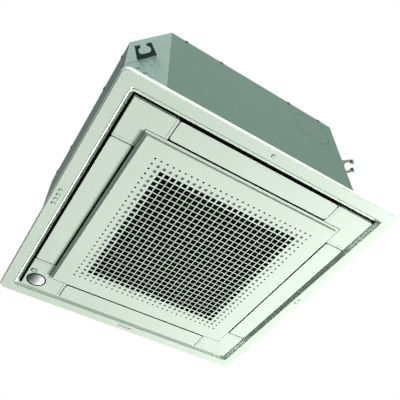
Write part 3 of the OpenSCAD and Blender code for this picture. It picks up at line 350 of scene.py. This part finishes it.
def window_material(name, node, color, light, reach, rim):
    """Glossy moulded window with painted light and shade: its colour grows from dark to light along X, over
    reach either side of its middle, lightest on the +X side; it is black outside the radius rim.
    """
    s = Shader(name, color, 0.2, coat_weight=0.35, coat_roughness=0.08, specular_ior_level=0.4)
    where = s.vector_math("SUBTRACT", s.place(), middle(node)).outputs["Vector"]
    s.overlay(s.spread(s.axis(where, "X"), -reach, reach, 0, 1), light)
    flat = s.vector_math("MULTIPLY", where, (1, 1, 0)).outputs["Vector"]
    far = s.vector_math("LENGTH", flat).outputs["Value"]
    s.overlay(s.spread(far, rim - WINDOW_EDGE, rim + WINDOW_EDGE, 0, 1), rgb(12, 16, 12))
    return s.mat


def fin_material():
    """The edges of thin aluminium fins, with painted shade in the slits between them."""
    s = Shader("fin_aluminium", rgb(196, 200, 200), 0.35, metallic=0.8)
    wave = s.node("ShaderNodeTexWave", wave_type="BANDS", bands_direction="DIAGONAL")
    wave.inputs["Scale"].default_value = 170
    s.link(s.place((1, 1, 0)), wave.inputs["Vector"])
    s.overlay(s.spread(wave.outputs["Fac"], 0.35, 0.6, 1, 0), rgb(30, 32, 32))
    s.bump(wave.outputs["Fac"], 0.0006, 0.8)
    return s.mat


def board_material():
    """Green circuit board with faint copper lines under its lacquer."""
    s = Shader("board", rgb(30, 92, 48), 0.3, coat_weight=0.5, coat_roughness=0.1)
    line = s.node("ShaderNodeTexBrick")
    line.inputs["Scale"].default_value = 180
    line.inputs["Mortar Size"].default_value = 0.03
    line.inputs["Color1"].default_value = (0, 0, 0, 1)
    line.inputs["Color2"].default_value = (0, 0, 0, 1)
    line.inputs["Mortar"].default_value = (1, 1, 1, 1)
    s.link(s.place(), line.inputs["Vector"])
    s.overlay(line.outputs["Color"], rgb(66, 128, 74))
    return s.mat


def hole_wall_shade_material():
    """Moulded plastic in the holes of the grille, with painted shade: darker than the face, and black away
    from the face.
    """
    s = Shader("hole_wall_shade", rgb(98, 112, 97), 0.6, specular_ior_level=0.15)
    s.overlay(s.spread(s.axis(s.place(), "Z"), *HOLE_SHADE_Z, 0, 1), rgb(12, 14, 12))
    s.bump(s.noise(GRAIN, 2, 0.6), 0.00002, 0.3)
    return s.mat


def edge_material():
    """The flaps' plastic, with painted shade on its upright edges: dark above their lower corner."""
    s = Shader("flap_edge_shade", PANEL, 0.5, specular_ior_level=0.2)
    s.overlay(s.spread(s.axis(s.place(), "Z"), *FLAP_SHADE_Z, 0, 1), rgb(10, 14, 10))
    return s.mat


def ledge_material():
    """The grille's ledge, shaded as if level, so its slight slope doesn't catch the light."""
    s = Shader("grille_ledge", PANEL, 0.48, specular_ior_level=0.3)
    turn = s.node("ShaderNodeVectorTransform", vector_type="NORMAL",
                  convert_from="OBJECT", convert_to="WORLD")
    turn.inputs[0].default_value = (0, 0, -1)
    s.link(turn.outputs[0], s.main.inputs["Normal"])
    return s.mat


# painted shade and highlight across the sensor dome and the receiver lens, light on their +X side
sensor_window = window_material("sensor_window", "sensor_dome", rgb(92, 132, 108), rgb(244, 250, 246),
                                0.014, 0.0176)
receiver_window = window_material("receiver_window", "receiver_lens", rgb(150, 176, 156),
                                  rgb(214, 232, 218), 0.006, 0.0052)
fin_aluminium = fin_material()
board = board_material()
hole_wall_shade = hole_wall_shade_material()
flap_edge_shade = edge_material()
grille_ledge = ledge_material()

SLOT_MATERIALS = {
    "panel_plastic": panel_plastic, "black_trim": black_trim, "sensor_window": sensor_window,
    "receiver_window": receiver_window, "seal": rubber, "case_steel": case_steel, "zinc": zinc,
    "steel": steel, "foam": foam, "white_plastic": white_plastic, "dark_plastic": dark_plastic,
    "grey_plastic": grey_plastic, "fin_aluminium": fin_aluminium, "copper": copper, "brass": brass,
    "board": board,
}
NODE_MATERIALS = {
    "case_screws": case_steel, "filter_frame": dark_plastic, "bell_mouth": dark_plastic,
    "fan_shaft": shaft_steel, "grille_hinge_pins": shaft_steel, "panel_seals": seal_foam,
    "drain_pan": dark_foam, "wall_insulation": dark_foam,
}

slot_of = {part["node"]: part["material_slot"] for part in frame["record"]["subparts"]}
for name, obj in frame["nodes"].items():
    obj.data.materials.clear()
    obj.data.materials.append(NODE_MATERIALS.get(name, SLOT_MATERIALS[slot_of[name]]))
    for face in obj.data.polygons:
        face.material_index = 0


def add_materials(name, *materials):
    """Adds materials, from index 1 on, to a CAD node. Returns its faces."""
    mesh = frame["nodes"][name].data
    for material in materials:
        mesh.materials.append(material)
    return mesh.polygons


def across(face):
    """Half width of the square on which the face's centre lies."""
    return max(abs(face.center.x), abs(face.center.y))


def upright(face, limit=0.3):
    """Whether the face stands: the share of its normal that points up or down is under limit."""
    return abs(face.normal.z) < limit


def shade_panel():
    """Painted shade in the air slots and round the intake (black) and on the edges of the raised squares on
    the rim (dark), and a painted highlight on the rim's outer edge."""
    for face in add_materials("panel_frame", duct_shade, mark_shade, rim_edge_highlight):
        half, z = across(face), face.center.z
        if half < SLOT_OUT + 0.0005:
            if z > SLOT_SHADE_Z or (upright(face, 0.5) and z > WALL_SHADE_Z):
                face.material_index = 1
        elif RIM_IN < half < MARKS_OUT and upright(face) and z < MARKS_Z:
            face.material_index = 2
        elif half > EDGE_IN and upright(face, 0.9) and z < EDGE_Z:
            face.material_index = 3


def shade_grille():
    """Painted shade on the walls of the holes, black in the outermost row, painted shadow (black) on the
    skirt, and the ledge.
    """
    rows = OPEN_HOLES / 2 + EDGE_ROWS
    for face in add_materials("intake_grille", hole_wall_shade, outer_row_shade, shadow_gap, grille_ledge):
        half, z = across(face), face.center.z
        if upright(face) and half < rows * PITCH and z < BACK_Z:
            face.material_index = 2 if half > (rows - 1) * PITCH else 1
        elif upright(face) and half > SKIRT and z > h(0.0):
            face.material_index = 3
        elif 0.9 < -face.normal.z < 0.999 and z > LEDGE_Z:
            face.material_index = 4


def shade_flaps():
    """Painted shade on the flaps' upright edges, dark like the gaps round them."""
    for side in ("front", "right", "back", "left"):
        for face in add_materials("flap_" + side, flap_edge_shade):
            if upright(face, 0.5) and face.center.z < FLAP_EDGE_Z:
                face.material_index = 1


def shade_screws():
    """The hangers' screws are bright like them, the others are painted like the casing."""
    for face in add_materials("case_screws", zinc):
        if min(abs(face.center.x), abs(face.center.y)) > HANGER_SCREWS:
            face.material_index = 1


def shade_hangers():
    """The slotted plates get a darker copy of the zinc, painted shade; the upright flanges stay bright zinc.
    """
    for face in add_materials("hanger_brackets", zinc_shade):
        if not upright(face, 0.5):
            face.material_index = 1


shade_panel()
shade_grille()
shade_flaps()
shade_screws()
shade_hangers()


# ---------------------------------------------------------------- soft edges on the CAD solids
def soften(name, width):
    """Rounds a CAD node's sharp edges in its modifiers, without a change to its mesh."""
    obj = frame["nodes"][name]
    weld = obj.modifiers.new("weld", "WELD")
    weld.merge_threshold = 0.00001
    bevel = obj.modifiers.new("bevel", "BEVEL")
    bevel.width = width
    bevel.segments = 2
    bevel.limit_method = "ANGLE"
    bevel.angle_limit = math.radians(40)
    bevel.harden_normals = True


for name in ("flap_front", "flap_right", "flap_back", "flap_left", "corner_cover_front_left",
             "corner_cover_front_right", "corner_cover_back_right", "sensor_cover"):
    soften(name, 0.0005)
soften("hanger_brackets", 0.0003)


# ---------------------------------------------------------------- pieces
def piece(name, verts, faces, material, body, smooth=False):
    """A visible object of its own that rides a body."""
    mesh = bpy.data.meshes.new(name)
    mesh.from_pydata(verts, [], faces)
    mesh.materials.append(material)
    if smooth:
        mesh.shade_smooth()
    obj = bpy.data.objects.new(name, mesh)
    bpy.context.scene.collection.objects.link(obj)
    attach(obj, body)
    return obj


def bar(verts, faces, low, high):
    """A closed box with its sides along the axes."""
    (x0, y0, z0), (x1, y1, z1) = low, high
    start = len(verts)
    verts.extend([(x, y, z) for z in (z0, z1) for x, y in ((x0, y0), (x1, y0), (x1, y1), (x0, y1))])
    faces.append([start + 3, start + 2, start + 1, start])
    faces.append([start + 4, start + 5, start + 6, start + 7])
    for k in range(4):
        following = (k + 1) % 4
        faces.append([start + k, start + following, start + 4 + following, start + 4 + k])


def square(x, y, half, z):
    """Corners of a level square round x, y."""
    return [(x + half * a, y + half * b, z) for a, b in ((-1, -1), (1, -1), (1, 1), (-1, 1))]


def thicken(obj, thickness):
    """Turns a sheet into a closed plate, away from the side it faces."""
    solid = obj.modifiers.new("thick", "SOLIDIFY")
    solid.thickness = thickness
    solid.offset = -1


def make_cross_bars():
    """Second set of grille bars, level with the first on the face."""
    verts, faces = [], []
    half = (PITCH - HOLE) / 2
    reach = OPEN_HOLES * PITCH / 2 - half
    low, high = FACE_Z + 0.00002, (FACE_Z + BACK_Z) / 2
    for i in range(1, OPEN_HOLES):
        at = (i - OPEN_HOLES / 2) * PITCH
        bar(verts, faces, (at - half, -reach, low), (at + half, reach, high))
    bars = piece("grille_cross_bars", verts, faces, panel_plastic, "grille")
    # their upright faces get the painted shade of the holes' walls
    bars.data.materials.append(hole_wall_shade)
    for face in bars.data.polygons:
        if upright(face):
            face.material_index = 1


def make_dimples():
    """Floors of the small squares in the second row round the open holes, which don't go through; darker
    than the face: painted shade.
    """
    at = (OPEN_HOLES / 2 + EDGE_ROWS - 1.5) * PITCH
    count = OPEN_HOLES + 2 * EDGE_ROWS - 2
    places = set()
    for i in range(count):
        along = (i - (count - 1) / 2) * PITCH
        for x, y in ((along, at), (along, -at), (at, along), (-at, along)):
            places.add((round(x, 6), round(y, 6)))
    verts, faces = [], []
    for x, y in sorted(places):
        start = len(verts)
        verts += square(x, y, DIMPLE_HALF, DIMPLE_Z)
        faces.append([start, start + 3, start + 2, start + 1])
    thicken(piece("grille_dimples", verts, faces, dimple_shade, "grille"), DIMPLE_DEEP)


def make_rim_crease():
    """Painted shade: a fine dark line along the crease between the rim's flat and its bevel."""
    verts = []
    for half in (CREASE_OUT, CREASE_IN):
        centre = half - CREASE_RADIUS
        for quarter, (sx, sy) in enumerate(((1, 1), (-1, 1), (-1, -1), (1, -1))):
            for i in range(CREASE_STEPS + 1):
                angle = math.radians(90 * quarter + 90 * i / CREASE_STEPS)
                verts.append((sx * centre + CREASE_RADIUS * math.cos(angle),
                              sy * centre + CREASE_RADIUS * math.sin(angle), LINE_Z))
    n = len(verts) // 2
    faces = [[i, n + i, n + (i + 1) % n, (i + 1) % n] for i in range(n)]
    thicken(piece("rim_crease_shade", verts, faces, crease_shade, "cassette"), LINE_DEEP)


def make_mark_outlines():
    """Painted shade: fine dark lines round the small raised squares on the rim, one more on each side."""
    verts, faces = [], []
    sides = (((0, -1), (1, 0)), ((1, 0), (0, 1)), ((0, 1), (1, 0)), ((-1, 0), (0, 1)))
    for side, (out, along) in enumerate(sides):
        for i in range(side + 1):
            shift = (i - side / 2) * MARK_PITCH
            x = out[0] * MARK_AT + along[0] * shift
            y = out[1] * MARK_AT + along[1] * shift
            start = len(verts)
            verts += square(x, y, MARK_SHADE_OUT, LINE_Z) + square(x, y, MARK_SHADE_IN, LINE_Z)
            faces += [[start + k, start + 4 + k, start + 4 + (k + 1) % 4, start + (k + 1) % 4]
                      for k in range(4)]
    thicken(piece("rim_mark_shade_lines", verts, faces, mark_shade, "cassette"), LINE_DEEP)


def make_filter_net():
    """Woven net of the air filter: threads both ways, one layer on the other."""
    (x0, y0, z0), (x1, y1, z1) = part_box("filter_mesh")
    verts, faces = [], []
    half = NET_THREAD / 2
    middle_z = (z0 + z1) / 2
    count = int((x1 - x0) / NET_PITCH)
    for i in range(count):
        at = x0 + (i + 0.5) * (x1 - x0) / count
        bar(verts, faces, (at - half, y0, z0), (at + half, y1, middle_z))
        bar(verts, faces, (x0, at - half, middle_z), (x1, at + half, z1))
    net = piece("filter_net", verts, faces, dark_plastic, "grille")
    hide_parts("filter_mesh")


def make_seal_strips():
    """Foam strips on the panel's walls, pressed a little uneven along their length."""
    z0, z1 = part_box("panel_seals")[0][2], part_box("panel_seals")[1][2]
    dice = random.Random(4)
    verts, faces = [], []
    for inside, outside in SEAL_RINGS:
        start = len(verts)
        profile = [(inside, z0 + SEAL_EDGE), (inside + SEAL_EDGE, z0),
                   (outside - SEAL_EDGE, z0), (outside, z0 + SEAL_EDGE),
                   (outside, z1 - SEAL_EDGE), (outside - SEAL_EDGE, z1),
                   (inside + SEAL_EDGE, z1), (inside, z1 - SEAL_EDGE)]
        centre = (inside + outside) / 2
        for cos, sin in ((1, 0), (0, 1), (-1, 0), (0, -1)):
            for i in range(SEAL_STEPS):
                along = 2 * i / SEAL_STEPS - 1
                press = 1 - dice.uniform(*SEAL_PRESS)
                for out, z in profile:
                    x = centre + (out - centre) * press
                    y = x * along
                    verts.append((x * cos - y * sin, x * sin + y * cos, z))
        n, rings = len(profile), 4 * SEAL_STEPS
        for i in range(rings):
            ring, following = start + i * n, start + (i + 1) % rings * n
            faces += [[ring + k, following + k, following + (k + 1) % n, ring + (k + 1) % n]
                      for k in range(n)]
    strips = piece("seal_strips", verts, faces, seal_foam, "cassette", smooth=True)
    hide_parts("panel_seals")


make_cross_bars()
make_dimples()
make_rim_crease()
make_mark_outlines()
make_filter_net()
make_seal_strips()


# ---------------------------------------------------------------- stage
SKY = (0.93, 1.0, 0.95, 1)
SKY_STRENGTH = 0.13
WHITE = (1, 1, 1, 1)
FLOOR_HALF = 5.0
FLOOR_Z = -2.4
FLOOR_GLOW = 0.6        # share of plain white in the floor, where it is seen directly
LAMP_SPREAD = math.radians(60)


def seen_directly(tree):
    """1 for camera, glossy and transmission rays."""
    path = tree.nodes.new("ShaderNodeLightPath")
    last = path.outputs["Is Camera Ray"]
    for other in ("Is Glossy Ray", "Is Transmission Ray"):
        most = tree.nodes.new("ShaderNodeMath")
        most.operation = "MAXIMUM"
        tree.links.new(last, most.inputs[0])
        tree.links.new(path.outputs[other], most.inputs[1])
        last = most.outputs[0]
    return last


def mixed(tree, factor, plain_shader, white_shader):
    """Output of white_shader where factor is 1, of plain_shader where it is 0."""
    mix = tree.nodes.new("ShaderNodeMixShader")
    tree.links.new(factor, mix.inputs[0])
    tree.links.new(plain_shader.outputs[0], mix.inputs[1])
    tree.links.new(white_shader.outputs[0], mix.inputs[2])
    return mix.outputs[0]


def make_world():
    """A faint green sky that is seen as plain white."""
    world = bpy.data.worlds.new("world")
    bpy.context.scene.world = world
    world.use_nodes = True
    tree = world.node_tree
    tree.nodes.clear()
    out = tree.nodes.new("ShaderNodeOutputWorld")
    sky = tree.nodes.new("ShaderNodeBackground")
    sky.inputs["Color"].default_value = SKY
    sky.inputs["Strength"].default_value = SKY_STRENGTH
    white = tree.nodes.new("ShaderNodeBackground")
    white.inputs["Color"].default_value = WHITE
    white.inputs["Strength"].default_value = 1
    tree.links.new(mixed(tree, seen_directly(tree), sky, white), out.inputs["Surface"])


def make_floor():
    """A plain pale floor, seen lighter than it is lit."""
    mesh = bpy.data.meshes.new("floor")
    mesh.from_pydata(square(0, 0, FLOOR_HALF, FLOOR_Z), [], [(0, 1, 2, 3)])
    floor = bpy.data.objects.new("floor", mesh)
    bpy.context.scene.collection.objects.link(floor)
    mat = bpy.data.materials.new("floor")
    mat.use_nodes = True
    tree = mat.node_tree
    main = tree.nodes["Principled BSDF"]
    main.inputs["Base Color"].default_value = rgb(238, 240, 238)
    main.inputs["Roughness"].default_value = 0.9
    glow = tree.nodes.new("ShaderNodeEmission")
    glow.inputs["Color"].default_value = WHITE
    part = tree.nodes.new("ShaderNodeMath")
    part.operation = "MULTIPLY"
    part.inputs[1].default_value = FLOOR_GLOW
    tree.links.new(seen_directly(tree), part.inputs[0])
    tree.links.new(mixed(tree, part.outputs[0], main, glow), tree.nodes["Material Output"].inputs["Surface"])
    mesh.materials.append(mat)


def lamp(name, place, aim, size, power, color=(1, 1, 1)):
    """A round lamp with a hood that keeps its light together."""
    data = bpy.data.lights.new(name, "AREA")
    data.shape = "DISK"
    data.size = size
    data.energy = power
    data.color = color
    data.spread = LAMP_SPREAD
    obj = bpy.data.objects.new(name, data)
    obj.location = place
    obj.rotation_euler = (Vector(aim) - Vector(place)).to_track_quat("-Z", "Y").to_euler()
    bpy.context.scene.collection.objects.link(obj)


make_world()
make_floor()
lamp("key", (3.6, 0.6, -1.35), (0, 0, -0.2), 0.6, 43, (1.0, 0.96, 0.97))
lamp("front", (-0.3, -4.5, 0.6), (0, 0, -0.05), 1.2, 21)
lamp("back", (-0.4, 4.2, 2.0), (0, 0, 0), 1.2, 26)
